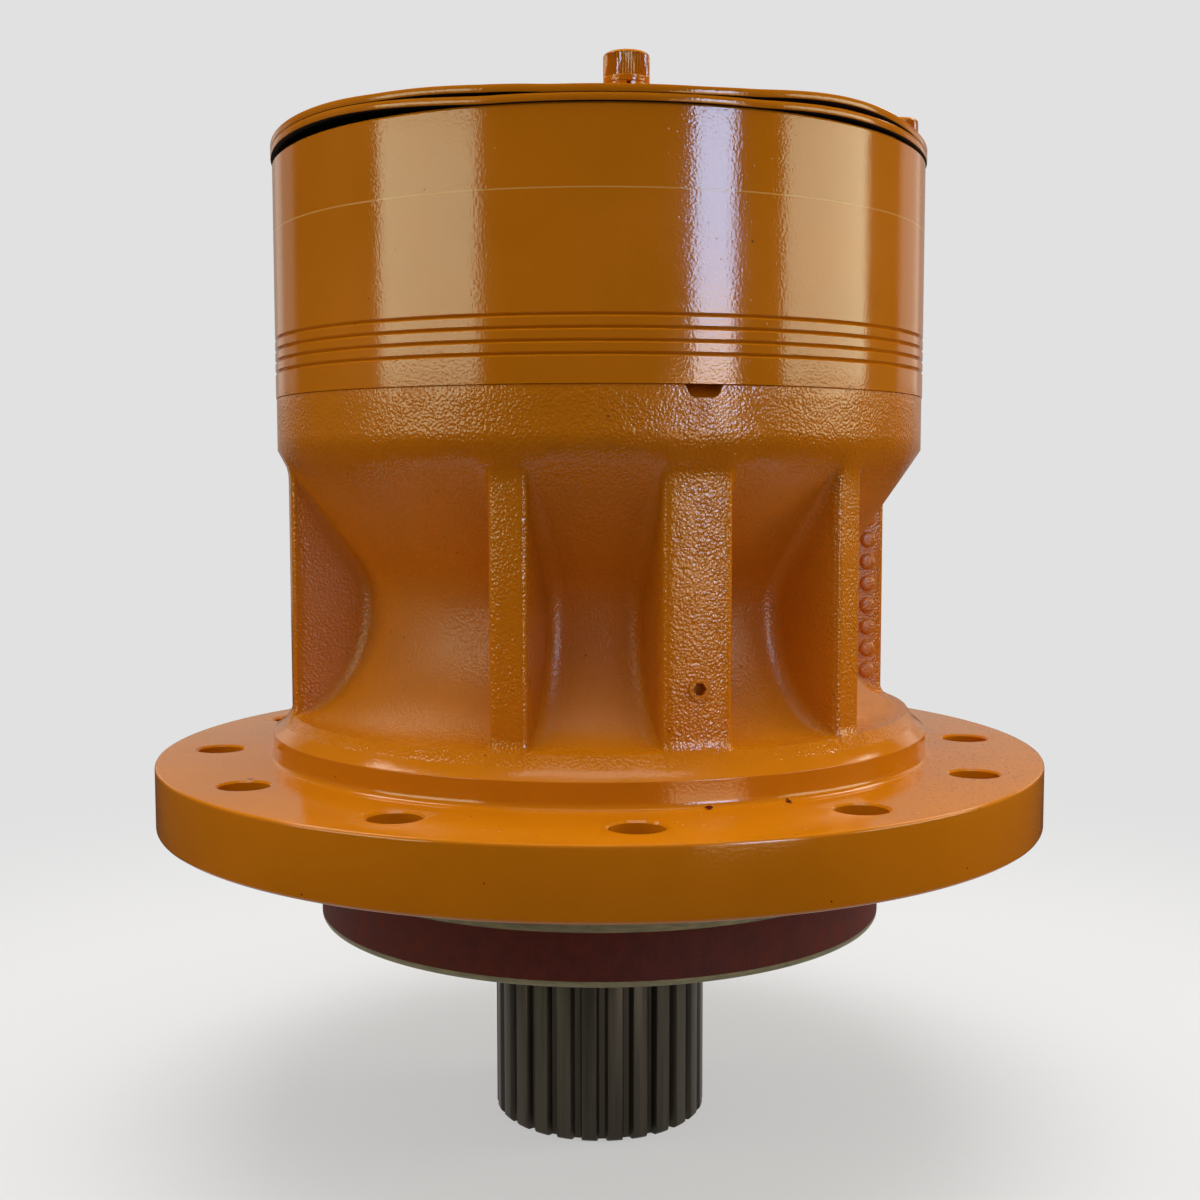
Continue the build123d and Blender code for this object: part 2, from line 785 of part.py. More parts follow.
def first_carrier():
    """The carrier of the first stage, with a toothed socket for the second sun gear."""
    body = disc(first_carrier_radius, first_plate_foot, first_plate_top)
    body += windowed_body(
        first_carrier_radius, first_plate_top, first_top_plate_foot,
        first_sun_teeth, first_planet_teeth, first_places,
    )
    sun_room = tip_radius(first_sun_teeth, profile_shift) + web_clearance
    body += tube(first_carrier_radius, sun_room, first_top_plate_foot, first_top_plate_top)
    angle = sun_angle(second_planet_turn, second_planet_teeth, second_sun_teeth)
    body -= gear(second_sun_teeth, profile_shift, angle, first_plate_foot, second_sun_top, running_fit)
    body -= disc(button_radius, second_sun_top, first_plate_top)
    pin_hole = disc(first_pin_radius, first_plate_foot, first_top_plate_top)
    return body - [spot * pin_hole for angle, spot in first_places]


def first_sun():
    """The first sun gear, with the splined socket that takes the motor shaft."""
    angle = sun_angle(first_planet_turn, first_planet_teeth, first_sun_teeth)
    low = first_plate_top + air_gap
    socket = spline(
        motor_spline_teeth, motor_spline_radius, motor_spline_depth,
        motor_spline_top_width, motor_spline_floor_width, 0, low, first_top_plate_top,
    )
    return gear(first_sun_teeth, profile_shift, angle, low, first_top_plate_top) - socket


def cover_plate(low, lift):
    """A thin round plate, flat between its four screws and sprung up past the lines that join them."""
    high = low + cover_thickness
    flat = disc(cover_radius, low, high)
    rim = disc(cover_radius, low, high + 2 * lift)
    lobes = []
    closed = cover_screw_turns + (cover_screw_turns[0] + 360,)
    for turn, following in zip(closed, closed[1:]):
        half = (following - turn) / 2
        line = cover_screw_circle * cos(radians(half)) + spring_washer_radius + cover_seat_margin
        reach = cover_radius - line
        bend = (reach ** 2 + lift ** 2) / (2 * lift)
        swing = degrees(asin(reach / bend)) + cover_bend_overrun
        beyond = block(2 * cover_radius, cover_radius, low, high)
        flat -= Rot(0, 0, turn + half) * Pos(0, -line, 0) * beyond
        centre = Pos(0, -line, low + bend)
        under = CenterArc((0, 0), bend, front_angle, -swing)
        over = CenterArc((0, 0), bend - cover_thickness, front_angle, -swing)
        outline = make_face([under, over, Line(under @ 0, over @ 0), Line(under @ 1, over @ 1)])
        strip = extrude(Plane.YZ * outline, cover_radius, both=True)
        lobes.append(rim & (Rot(0, 0, turn + half) * centre * strip))
    plate = flat
    for lobe in lobes:
        plate += lobe
    hole = disc(cover_screw_radius + bolt_clearance, low, high + lift)
    return plate - [place(cover_screw_circle, turn) * hole for turn in cover_screw_turns]


def cover_screws(seat):
    """The socket screws of the shipping covers."""
    top = seat + cover_screw_head_height
    edge = cover_screw_head_radius - cover_screw_head_chamfer
    screw = turned(
        (0, ring_top - cover_screw_engagement),
        (cover_screw_radius, ring_top - cover_screw_engagement),
        (cover_screw_radius, seat),
        (cover_screw_head_radius, seat),
        (cover_screw_head_radius, top - cover_screw_head_chamfer),
        (edge, top),
        (0, top),
    )
    screw -= hexagon(cover_screw_hex, top - cover_screw_hex_depth, top)
    return [place(cover_screw_circle, turn) * screw for turn in cover_screw_turns]


def spring_washers(low):
    """The split spring washers under the cover screws."""
    washer = tube(spring_washer_radius, cover_screw_radius, low, low + spring_washer_thickness)
    washer -= block(spring_washer_split, cover_radius, low, low + spring_washer_thickness)
    return [place(cover_screw_circle, turn) * washer for turn in cover_screw_turns]


def save(name, shape):
    """Write a piece, or a list of alike pieces, to its own file."""
    solids = shape if isinstance(shape, list) else [shape]
    export_step(Compound([solid for item in solids for solid in item.solids()]), f"parts/{name}.step")


def build_housing():
    """Everything that stands still."""
    save("casting", casting())
    save("grease_plug", grease_plug())
    save("ring_gear", ring_gear())
    save("ring_screws", ring_screws())
    save("ring_dowels", dowels())
    save("shaft_seal", shaft_seal())
    save("seal_retainer", seal_retainer())
    save("retainer_screws", retainer_screws())
    save("lower_cover_plate", cover_plate(ring_top, lower_cover_lift))
    save("upper_cover_plate", cover_plate(ring_top + cover_thickness, upper_cover_lift))
    washer_foot = ring_top + 2 * cover_thickness
    save("cover_spring_washers", spring_washers(washer_foot))
    save("cover_screws", cover_screws(washer_foot + spring_washer_thickness))


def build_bearings():
    """Both tapered roller bearings, with their cups in the casting and their cones on the shaft."""
    for name, bore, outer, width, face, way in (
        ("lower", lower_bearing_bore, lower_bearing_outer, lower_bearing_width, lower_cone_face, 1),
        ("upper", upper_bearing_bore, upper_bearing_outer, upper_bearing_width, upper_cone_face, -1),
    ):
        cup, rollers, cone = bearing(bore, outer, width, face, way)
        save(f"{name}_bearing_cup", cup)
        save(f"{name}_bearing_rollers", rollers)
        save(f"{name}_bearing_cone", cone)


def build_output():
    """The output shaft and what turns with it."""
    save("output_shaft", output_shaft())
    save("seal_sleeve", tube(sleeve_radius, sleeve_radius - sleeve_wall, sleeve_foot, shaft_collar_foot))
    save("bearing_nut", bearing_nut())
    save("second_carrier", second_carrier())
    save("carrier_snap_ring", carrier_snap_ring())
    pins = planet_pins(second_places, second_pin_radius, second_plate_foot, second_top_plate_top)
    save("second_planet_pins", pins)
    save(
        "second_thrust_washers",
        thrust_washers(second_places, second_pin_radius, second_plate_top, second_top_plate_foot),
    )


def build_first_carrier():
    """The first carrier and what turns with it."""
    save("second_sun_gear", second_sun())
    save("first_carrier", first_carrier())
    pins = planet_pins(first_places, first_pin_radius, first_plate_foot, first_top_plate_top)
    save("first_planet_pins", pins)
    save(
        "first_thrust_washers",
        thrust_washers(first_places, first_pin_radius, first_plate_top, first_top_plate_foot),
    )
    save("thrust_button", disc(button_radius, first_plate_top - button_height, first_plate_top))


def build_gears():
    """The planets of both stages with their bushes, and the first sun gear."""
    for number, (angle, spot) in enumerate(second_places, 1):
        low, high = second_planet_foot, second_planet_top
        wheel = planet(angle, spot, second_planet_teeth, second_bush_radius, low, high)
        save(f"second_planet_{number}", wheel)
        save(f"second_planet_bush_{number}", bush(spot, second_bush_radius, second_pin_radius, low, high))
    for number, (angle, spot) in enumerate(first_places, 1):
        low, high = first_planet_foot, first_planet_top
        wheel = planet(angle, spot, first_planet_teeth, first_bush_radius, low, high)
        save(f"first_planet_{number}", wheel)
        save(f"first_planet_bush_{number}", bush(spot, first_bush_radius, first_pin_radius, low, high))
    save("first_sun_gear", first_sun())


build_housing()
build_bearings()
build_output()
build_first_carrier()
build_gears()
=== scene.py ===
from math import asin, atan2, cos, degrees, hypot, pi, radians, sin, tan

import bmesh
import bpy
import numpy as np
from mathutils import Euler, Matrix, Vector


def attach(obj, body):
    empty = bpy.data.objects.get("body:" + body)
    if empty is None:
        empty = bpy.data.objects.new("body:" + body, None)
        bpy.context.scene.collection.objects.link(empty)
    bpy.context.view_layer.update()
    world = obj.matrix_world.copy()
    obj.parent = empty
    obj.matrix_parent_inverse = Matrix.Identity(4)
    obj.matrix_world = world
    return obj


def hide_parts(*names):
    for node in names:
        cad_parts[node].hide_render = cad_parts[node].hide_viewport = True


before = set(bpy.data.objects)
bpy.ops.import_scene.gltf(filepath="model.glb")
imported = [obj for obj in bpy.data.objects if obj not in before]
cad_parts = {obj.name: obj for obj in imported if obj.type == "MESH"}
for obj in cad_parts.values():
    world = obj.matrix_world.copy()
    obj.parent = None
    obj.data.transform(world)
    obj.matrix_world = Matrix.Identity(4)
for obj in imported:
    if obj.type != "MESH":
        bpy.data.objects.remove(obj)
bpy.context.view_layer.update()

# Swing gearbox of an excavator, standing on its output shaft. Lengths are written in millimetres
# and turned to metres by mm. A turn is counted from the front (-Y) towards the right (+X).
mm = 0.001
scene = bpy.context.scene
scene.view_settings.view_transform = "Standard"


# Camera: a phone held 0.75 m from the axis, a little left of the front and a little above the flange.
camera_turn = -4.4
camera_place = Vector((-57.9, -752.3, 160.7)) * mm
camera = bpy.data.objects.new("camera", bpy.data.cameras.new("camera"))
camera.data.lens = 46.62
camera.data.sensor_width = 36.0
camera.data.shift_x = 0.0006
camera.data.clip_start = 0.01
camera.location = camera_place
level = Euler((radians(90 - 4.597), 0, radians(camera_turn))).to_matrix()
camera.rotation_euler = (level @ Euler((0, 0, radians(-0.071))).to_matrix()).to_euler()
scene.collection.objects.link(camera)
scene.camera = camera


# Studio: a pale floor that fades into a pale backdrop, with soft boxes left, right and above.
# The enamel is glossy, so each soft box also shows as an upright strip on the ring gear.
def linear(colour):
    """A colour written as sRGB hex, as the linear values that a shader takes."""
    shares = [int(colour[at:at + 2], 16) / 255 for at in (1, 3, 5)]
    levels = [share / 12.92 if share <= 0.04045 else ((share + 0.055) / 1.055) ** 2.4 for share in shares]
    return levels + [1.0]


def new_finish(name):
    """A material with an empty tree."""
    finish = bpy.data.materials.new(name)
    finish.use_nodes = True
    finish.node_tree.nodes.clear()
    return finish


def add(tree, kind, inputs=None, **settings):
    """Add a node to a tree. inputs maps each socket to a value or to the socket that feeds it."""
    made = tree.nodes.new("ShaderNode" + kind)
    for name, value in settings.items():
        setattr(made, name, value)
    for name, value in (inputs or {}).items():
        if isinstance(value, bpy.types.NodeSocket):
            tree.links.new(value, made.inputs[name])
        else:
            made.inputs[name].default_value = value
    return made


def calc(tree, operation, first, second):
    """The result of an operation on two values or sockets."""
    return add(tree, "Math", {0: first, 1: second}, operation=operation).outputs[0]


def ramp(tree, value, first, last, at_first=0.0, at_last=1.0, **settings):
    """A value carried over from one range to another, and held at both ends."""
    return add(
        tree, "MapRange",
        {"Value": value, "From Min": first, "From Max": last, "To Min": at_first, "To Max": at_last}, **settings,
    ).outputs[0]


def in_picture(tree):
    """1 for rays that the picture shows, which are straight, mirrored or let through, and 0 for the others."""
    path = add(tree, "LightPath").outputs
    seen = calc(tree, "ADD", path["Is Camera Ray"], path["Is Glossy Ray"])
    return calc(tree, "ADD", seen, path["Is Transmission Ray"])


def at_turn(radius, turn, height):
    """A point at a radius, a turn and a height in millimetres."""
    return Vector((radius * sin(radians(turn)), -radius * cos(radians(turn)), height)) * mm


backdrop_colour = linear("#E1E1E1")
ambient = 0.42
world = bpy.data.worlds.new("studio_air")
world.use_nodes = True
scene.world = world
air = world.node_tree
air.nodes.clear()
light = add(air, "Background", {"Color": (1.0, 0.97, 0.93, 1), "Strength": ambient})
shown = add(air, "Background", {"Color": backdrop_colour, "Strength": 1.0})
air_mix = add(air, "MixShader", {0: in_picture(air), 1: light.outputs[0], 2: shown.outputs[0]})
add(air, "OutputWorld", {"Surface": air_mix.outputs[0]})

floor_height = -150.3
floor_reach = 30000
floor_paper = new_finish("pale_floor_paper")
paper = floor_paper.node_tree
spot = add(paper, "TexCoord").outputs["Object"]
away = add(paper, "VectorMath", {0: spot, 1: (0, 0, floor_height * mm)}, operation="DISTANCE")
fade = ramp(paper, away.outputs["Value"], 0.1, 0.9, 0.6, 1.0, interpolation_type="SMOOTHSTEP")
lit = add(paper, "BsdfDiffuse", {"Color": (0.87, 0.87, 0.87, 1)})
shown = add(paper, "Emission", {"Color": backdrop_colour, "Strength": 1.0})
near_mix = add(paper, "MixShader", {0: fade, 1: lit.outputs[0], 2: shown.outputs[0]})
dull = add(paper, "BsdfDiffuse", {"Color": (0.2, 0.19, 0.18, 1)})
floor_mix = add(paper, "MixShader", {0: in_picture(paper), 1: dull.outputs[0], 2: near_mix.outputs[0]})
# Seen from under it the paper is clear, so that the output shaft and its seal can be looked at.
from_below = add(paper, "NewGeometry").outputs["Backfacing"]
clear = add(paper, "BsdfTransparent")
paper_mix = add(paper, "MixShader", {0: from_below, 1: floor_mix.outputs[0], 2: clear.outputs[0]})
add(paper, "OutputMaterial", {"Surface": paper_mix.outputs[0]})

sheet = bmesh.new()
floor_place = Matrix.Translation((0, 0, floor_height * mm))
bmesh.ops.create_circle(sheet, cap_ends=True, segments=64, radius=floor_reach * mm, matrix=floor_place)
floor = bpy.data.objects.new("floor", bpy.data.meshes.new("floor"))
sheet.to_mesh(floor.data)
floor.data.materials.append(floor_paper)
scene.collection.objects.link(floor)

# Only gloss sees these cloths. They keep the enamel deep in tone between the soft boxes.
cloth_start = 420
cloth_foot = floor_height + 1
room_radius = 2900
room_height = 3200
dark_tone, grey_tone = (0.03, 0.03, 0.03, 1), (0.36, 0.34, 0.31, 1)
for name, start, sweep, line, tone in (
    ("dark_floor_cloth", 0.0, 360.0, ((cloth_start, cloth_foot), (room_radius, cloth_foot)), dark_tone),
    ("dark_ceiling", 0.0, 360.0, ((room_radius, room_height), (1, room_height)), dark_tone),
    ("dark_curtain", -140.0, 280.0, ((room_radius, cloth_foot), (room_radius, room_height)), dark_tone),
    ("grey_back_wall", 140.0, 80.0, ((room_radius, cloth_foot), (room_radius, room_height)), grey_tone),
):
    cloth_finish = new_finish(name)
    dim = add(cloth_finish.node_tree, "Emission", {"Color": tone, "Strength": 1.0})
    add(cloth_finish.node_tree, "OutputMaterial", {"Surface": dim.outputs[0]})
    cloth = bmesh.new()
    ends = [cloth.verts.new(at_turn(out, camera_turn + start, height)) for out, height in line]
    drop = ends + [cloth.edges.new(ends)]
    bmesh.ops.spin(cloth, geom=drop, axis=(0, 0, 1), angle=radians(sweep), steps=48, use_merge=sweep == 360)
    curtain = bpy.data.objects.new(name, bpy.data.meshes.new(name))
    cloth.to_mesh(curtain.data)
    curtain.data.materials.append(cloth_finish)
    curtain.visible_camera = False
    curtain.visible_diffuse = False
    curtain.visible_shadow = False
    curtain.visible_transmission = False
    scene.collection.objects.link(curtain)


def soft_box(name, place, aim, width, height, radiance, colour, lights=True, shown=True):
    """A soft box lamp. In Cycles an area lamp's radiance is its power over four times its area. lights says
    whether it lights matt colours, and shown whether gloss mirrors it."""
    lamp = bpy.data.lights.new(name, "AREA")
    lamp.shape = "RECTANGLE"
    lamp.size = width * mm
    lamp.size_y = height * mm
    lamp.energy = 4 * lamp.size * lamp.size_y * radiance
    lamp.color = linear(colour)[:3]
    stand = bpy.data.objects.new(name, lamp)
    stand.location = place
    stand.rotation_euler = (aim - place).to_track_quat("-Z", "Y").to_euler()
    stand.visible_camera = False
    stand.visible_diffuse = lights
    stand.visible_glossy = shown
    scene.collection.objects.link(stand)


# The upright boxes are given by the turns and the heights that they fill, as seen from the gearbox.
lamp_distance = 2200
for name, first, last, foot, head, radiance, colour in (
    ("window_left", -75.5, -38.8, 300, 850, 4.8, "#F3FFD8"),
    ("window_front", 30.0, 43.7, 430, 850, 17.0, "#AAD2FF"),
    ("window_front_sill", 30.0, 43.7, 290, 430, 13.0, "#F0E8E4"),
    ("window_front_low", 22.0, 46.0, -140, 290, 4.2, "#FFE2AC"),
    ("window_right", 61.8, 99.1, 300, 850, 4.5, "#F3FFD8"),
    ("wall_left", -149.7, -124.9, 300, 850, 0.25, "#FFF6E8"),
    ("wall_right", 121.7, 144.1, 300, 850, 0.5, "#FFF6E8"),
):
    height = (foot + head) / 2
    wide = 2 * lamp_distance * tan(radians((last - first) / 2))
    place = at_turn(lamp_distance, camera_turn + (first + last) / 2, height)
    soft_box(name, place, Vector((0, 0, height * mm)), wide, head - foot, radiance, colour, lights=False)
centre = Vector((0, 0, 0))
soft_box("ceiling", Vector((0, -0.1, 2.0)), centre, 1800, 1800, 3.4, "#FFFFFF", shown=False)
soft_box("side_fill_left", at_turn(lamp_distance, -95, 500), centre, 1000, 1000, 2.2, "#FFF6DC", shown=False)
soft_box("side_fill_right", at_turn(lamp_distance, 95, 500), centre, 1000, 1000, 4.6, "#FFF6DC", shown=False)
soft_box("overhead_tube", at_turn(560, camera_turn, 2100), centre, 1500, 200, 2.5, "#FFF8EC", lights=False)
soft_box("skylight_left", at_turn(1400, -123, 1950), centre, 760, 800, 5.5, "#FFF4E0", lights=False)
soft_box("skylight_right", at_turn(1800, 124, 1600), centre, 560, 760, 5.5, "#FFF4E0", lights=False)


# Casting: ductile iron poured in sand, in one piece with its flange. The flange, collar, spigot and top
# are turned, the waist with its nine ribs is left as cast. All but the spigot is sprayed orange.
flange_radius = 210.0
flange_thickness = 29.5
collar_radius = 156.4
collar_top = 41.2
shoulder_radius = 151.1
shoulder_top = 45.5
rib_foot = 50.5
rib_top = 164.8
rib_radius = 147.5
flare_radius = rib_radius + 0.3
waist_radius = 112.3
waist_height = 103.8
waist_arc = 30.0
bowl_lean = radians(34.2)
band_radius = 152.2
band_foot = 172.0
casting_top = 196.0
pilot_radius = 136.5
pilot_foot = -25.0
spigot_radius = 134.9
spigot_foot = -48.4
bare_lip = 2.8
rib_group_turn = 11.2
rib_spread = 30.0
wide_half = 14.5
narrow_half = 8.0
rib_edge = 2.4
root_fillet = 6.0
end_fillet = 3.0

# The pocket line between the ribs: a quarter ellipse up to the waist, an arc, and a slope up to the band.
ellipse_steps, arc_steps, slope_steps = 16, 5, 12
pocket_line = []
for step in range(ellipse_steps + 1):
    swing = pi / 2 * step / ellipse_steps
    pocket_line.append((
        flare_radius - (flare_radius - waist_radius) * sin(swing),
        waist_height - (waist_height - rib_foot) * cos(swing),
    ))
for step in range(1, arc_steps + 1):
    swing = bowl_lean * step / arc_steps
    pocket_line.append((waist_radius + waist_arc * (1 - cos(swing)), waist_height + waist_arc * sin(swing)))
slope_start = pocket_line[-1]
for step in range(1, slope_steps + 1):
    share = step / slope_steps
    pocket_line.append((
        slope_start[0] + (rib_radius - slope_start[0]) * share,
        slope_start[1] + (rib_top - slope_start[1]) * share,
    ))
# The core line runs on past both ends of the waist, so that no point of the grid lies beyond it.
core_line = [(170.0, collar_top), (collar_radius, collar_top), (shoulder_radius, shoulder_top)]
core_line += pocket_line + [(band_radius, band_foot), (band_radius, 230.0)]


def beyond_core(radius, height):
    """How far points lie outside the turned core."""
    nearest = np.full(radius.shape, 1e9)
    signed = np.zeros(radius.shape)
    for (r0, z0), (r1, z1) in zip(core_line, core_line[1:]):
        dr, dz = r1 - r0, z1 - z0
        share = np.clip(((radius - r0) * dr + (height - z0) * dz) / (dr * dr + dz * dz), 0, 1)
        gap = np.hypot(radius - r0 - share * dr, height - z0 - share * dz)
        side = np.where((radius - r0) * dz - (height - z0) * dr < 0, -1.0, 1.0)
        signed = np.where(gap < nearest, gap * side, signed)
        nearest = np.minimum(nearest, gap)
    return signed


def beyond_casting(points):
    """How far points of one rib group lie outside the ribbed waist. Its root fillet grows from end_fillet at
    the rim to root_fillet deep in a pocket."""
    rim = rib_radius - 1.5
    full_depth = 20.0
    behind = 99.0
    across, out, height = points
    radius = np.hypot(across, out)
    reach = beyond_core(radius, height)
    ease = np.clip((rim - radius) / full_depth, 0, 1)
    fillet = end_fillet + (root_fillet - end_fillet) * ease * ease * (3 - 2 * ease)
    for centre, half in ((0.0, wide_half), (-rib_spread, narrow_half), (rib_spread, narrow_half)):
        swing = radians(centre)
        beside = np.abs(across * cos(swing) - out * sin(swing)) - half
        front = np.where(across * sin(swing) + out * cos(swing) > 0, radius - rib_radius, behind)
        u, v = beside + rib_edge, front + rib_edge
        rib = np.hypot(np.maximum(u, 0), np.maximum(v, 0)) + np.minimum(np.maximum(u, v), 0) - rib_edge
        a, b = np.maximum(fillet - reach, 0), np.maximum(fillet - rib, 0)
        reach = np.maximum(fillet, np.minimum(reach, rib)) - np.hypot(a, b)
    return reach


# One group of ribs is laid out column by column: face, edge, side and root fillet of each rib, then the core.
# The rows follow the pocket line, and on a rib's face they are spread evenly up its height. Where a rib has
# less depth than its fillet and edge need, both shrink to a share of that depth.
fillet_share, edge_share = 0.45, 0.25
row_length = [0.0]
for (r0, z0), (r1, z1) in zip(pocket_line, pocket_line[1:]):
    row_length.append(row_length[-1] + hypot(r1 - r0, z1 - z0))
rows = []
for at, (radius, height) in enumerate(pocket_line):
    before = pocket_line[max(at - 1, 0)]
    after = pocket_line[min(at + 1, len(pocket_line) - 1)]
    out = Vector((after[1] - before[1], before[0] - after[0])).normalized()
    face_height = rib_foot + (rib_top - rib_foot) * row_length[at] / row_length[-1]
    depth = hypot(rib_radius - radius, face_height - height)
    fillet, edge = min(root_fillet, fillet_share * depth), min(rib_edge, edge_share * depth)
    rows.append((radius, height, out, face_height, fillet, edge))


def rib_column(centre, half, side, zone, share):
    """The points of one column of a rib, as (across, out, height) for each row."""
    column = []
    for radius, height, out, face_height, fillet, edge in rows:
        if zone == "face":
            beside, distance, level = (half - rib_edge) * share, rib_radius, face_height
        elif zone == "edge":
            swing = pi / 2 * share
            beside = half - rib_edge + edge * sin(swing)
            distance, level = rib_radius - edge * (1 - cos(swing)), face_height
        elif zone == "side":
            beside = half
            distance = (rib_radius - edge) * (1 - share) + (radius + fillet * out.x) * share
            level = face_height * (1 - share) + (height + fillet * out.y) * share
        else:
            swing = pi / 2 * share
            beside = half + fillet * (1 - cos(swing))
            distance = radius + fillet * (1 - sin(swing)) * out.x
            level = height + fillet * (1 - sin(swing)) * out.y
        turn = radians(centre) + side * asin(min(beside / distance, 1.0))
        column.append((distance * sin(turn), distance * cos(turn), level))
    return column


def rib_columns(centre, half, faces):
    """All columns of one rib, from the far end of its left root fillet to the end of its right one."""
    zones = [
        (zone, 1 - step / count) for zone, count in (("root", 7), ("side", 5), ("edge", 4)) for step in range(count)
    ]
    left = [rib_column(centre, half, -1, zone, share) for zone, share in zones]
    front = [rib_column(centre, half, -1, "face", 1 - step / faces) for step in range(faces)]
    front += [rib_column(centre, half, 1, "face", step / faces) for step in range(faces + 1)]
    right = [rib_column(centre, half, 1, zone, share) for zone, share in reversed(zones)]
    return left + front + right


def core_columns(first, last, count):
    """Columns of the plain core between two rib columns."""
    columns = []
    for step in range(1, count):
        column = []
        for row, near, far in zip(rows, first, last):
            start, end = atan2(near[0], near[1]), atan2(far[0], far[1])
            if end < start:
                end += 2 * pi
            turn = start + (end - start) * (step / count)
            column.append((row[0] * sin(turn), row[0] * cos(turn), row[1]))
        columns.append(column)
    return columns


left_rib = rib_columns(-rib_spread, narrow_half, 3)
wide_rib = rib_columns(0.0, wide_half, 6)
right_rib = rib_columns(rib_spread, narrow_half, 3)
third = 2 * pi / 3
next_group = [(x * cos(third) + y * sin(third), y * cos(third) - x * sin(third), z) for x, y, z in left_rib[0]]
columns = left_rib + core_columns(left_rib[-1], wide_rib[0], 8) + wide_rib
columns += core_columns(wide_rib[-1], right_rib[0], 8) + right_rib
columns += core_columns(right_rib[-1], next_group, 26)

# The grid is then drawn onto the true surface by Newton's method. In folds the slope is held off zero.
grid = np.array(columns).transpose(2, 0, 1)
nudge = 0.05
least_slope = 0.25
for _ in range(12):
    here = beyond_casting(grid)
    slope = np.array([
        beyond_casting(grid + nudge * axis) - beyond_casting(grid - nudge * axis)
        for axis in np.eye(3)[:, :, None, None]
    ]) / (2 * nudge)
    grid = grid - slope * here / np.maximum((slope ** 2).sum(axis=0), least_slope)


def rounded(corners):
    """A section line with each inner corner rounded to its third value, or left sharp where that is 0."""
    steps = 4
    line = [corners[0][:2]]
    for before, here, after in zip(corners, corners[1:], corners[2:]):
        corner = Vector(here[:2])
        if not here[2]:
            line.append(tuple(corner))
            continue
        inward, onward = Vector(before[:2]) - corner, Vector(after[:2]) - corner
        cut_back = here[2] / tan(inward.angle(onward) / 2)
        start = corner + inward.normalized() * cut_back
        end = corner + onward.normalized() * cut_back
        for step in range(steps + 1):
            share = step / steps
            line.append(tuple(start * (1 - share) ** 2 + corner * 2 * share * (1 - share) + end * share ** 2))
    line.append(corners[-1][:2])
    return line


# The turned section of the casting, outside upwards and inside downwards. The waist's rows stand between.
# Inside are the bowl of the second carrier, the bearings' seats with a room between them, and the recess of
# the seal retainer.
seam_radius = 125.0
bowl_radius = 126.0
bowl_foot = 170.0
upper_seat_radius = 85.0
upper_seat_top = 140.0
upper_seat_foot = 98.0
seat_lip_radius = 77.0
seat_lip_foot = 90.0
inner_room_radius = 90.0
inner_room_top = 78.0
lower_seat_radius = 100.0
lower_seat_top = 22.0
retainer_radius = 116.0
retainer_seat = -36.4
band_step = 6.0
lower_line = rounded([
    (seam_radius, spigot_foot), (spigot_radius, spigot_foot, 2.0), (spigot_radius, spigot_foot + bare_lip, 0),
    (spigot_radius, pilot_foot - 0.5, 0.5), (pilot_radius, pilot_foot, 0.5), (pilot_radius, 0, 0.3),
    (flange_radius, 0, 1.6), (flange_radius, flange_thickness, 1.6), (collar_radius, flange_thickness, 3.6),
    (collar_radius, collar_top, 0.8), (shoulder_radius, shoulder_top),
])
upper_line = rounded([
    (band_radius, band_foot), (band_radius, casting_top, 0.7), (bowl_radius, casting_top, 0),
    (bowl_radius, bowl_foot, 0), (upper_seat_radius, upper_seat_top, 0), (upper_seat_radius, upper_seat_foot, 0),
    (seat_lip_radius, upper_seat_foot, 0), (seat_lip_radius, seat_lip_foot, 0),
    (inner_room_radius, inner_room_top, 0), (inner_room_radius, lower_seat_top, 0),
    (lower_seat_radius, lower_seat_top, 0), (lower_seat_radius, retainer_seat, 0),
    (retainer_radius, retainer_seat, 0), (retainer_radius, spigot_foot, 0), (seam_radius, spigot_foot),
])[:-1]
band_line = upper_line[:1] + [(band_radius, band_foot + band_step * step) for step in (1, 2, 3)] + upper_line[1:]
section = lower_line + [(row[0], row[1]) for row in rows] + band_line

# Off the waist the columns keep the turns that they have three quarters of the way up its rows.
base_row = len(rows) * 3 // 4
base_turn = np.unwrap(np.arctan2(grid[0, :, base_row], grid[1, :, base_row]))
column_count = 3 * len(columns)
skin = bmesh.new()
row_of = skin.verts.layers.int.new("row")
ring = []
for number, (radius, height) in enumerate(section):
    vertex = skin.verts.new((0, -radius * mm, height * mm))
    vertex[row_of] = number
    ring.append(vertex)
edges = [skin.edges.new(pair) for pair in zip(ring, ring[1:] + ring[:1])]
bmesh.ops.spin(skin, geom=ring + edges, axis=(0, 0, 1), angle=2 * pi, steps=column_count, use_merge=True)
for vertex in skin.verts:
    number = vertex[row_of]
    turn = atan2(vertex.co.x, -vertex.co.y) % (2 * pi)
    column = round(turn / (2 * pi) * column_count) % column_count
    group, place = divmod(column, len(columns))
    group_turn = radians(rib_group_turn + 120 * group)
    waist_row = number - len(lower_line)
    if 0 <= waist_row < len(rows):
        across, out, height = grid[:, place, waist_row]
        radius, turn = hypot(across, out), atan2(across, out) + group_turn
    else:
        radius, height = section[number]
        turn = base_turn[place] + group_turn
    vertex.co = (radius * mm * sin(turn), -radius * mm * cos(turn), height * mm)
bmesh.ops.recalc_face_normals(skin, faces=skin.faces)


def turned(line, steps):
    """A shape turned about Z from a section line that starts and ends on the axis."""
    shape = bmesh.new()
    corners = [shape.verts.new((0, -radius * mm, height * mm)) for radius, height in line]
    sides = [shape.edges.new(pair) for pair in zip(corners, corners[1:])]
    bmesh.ops.spin(shape, geom=corners + sides, axis=(0, 0, 1), angle=2 * pi, steps=steps, use_merge=True)
    bmesh.ops.remove_doubles(shape, verts=shape.verts, dist=0.001 * mm)
    bmesh.ops.recalc_face_normals(shape, faces=shape.faces)
    return shape


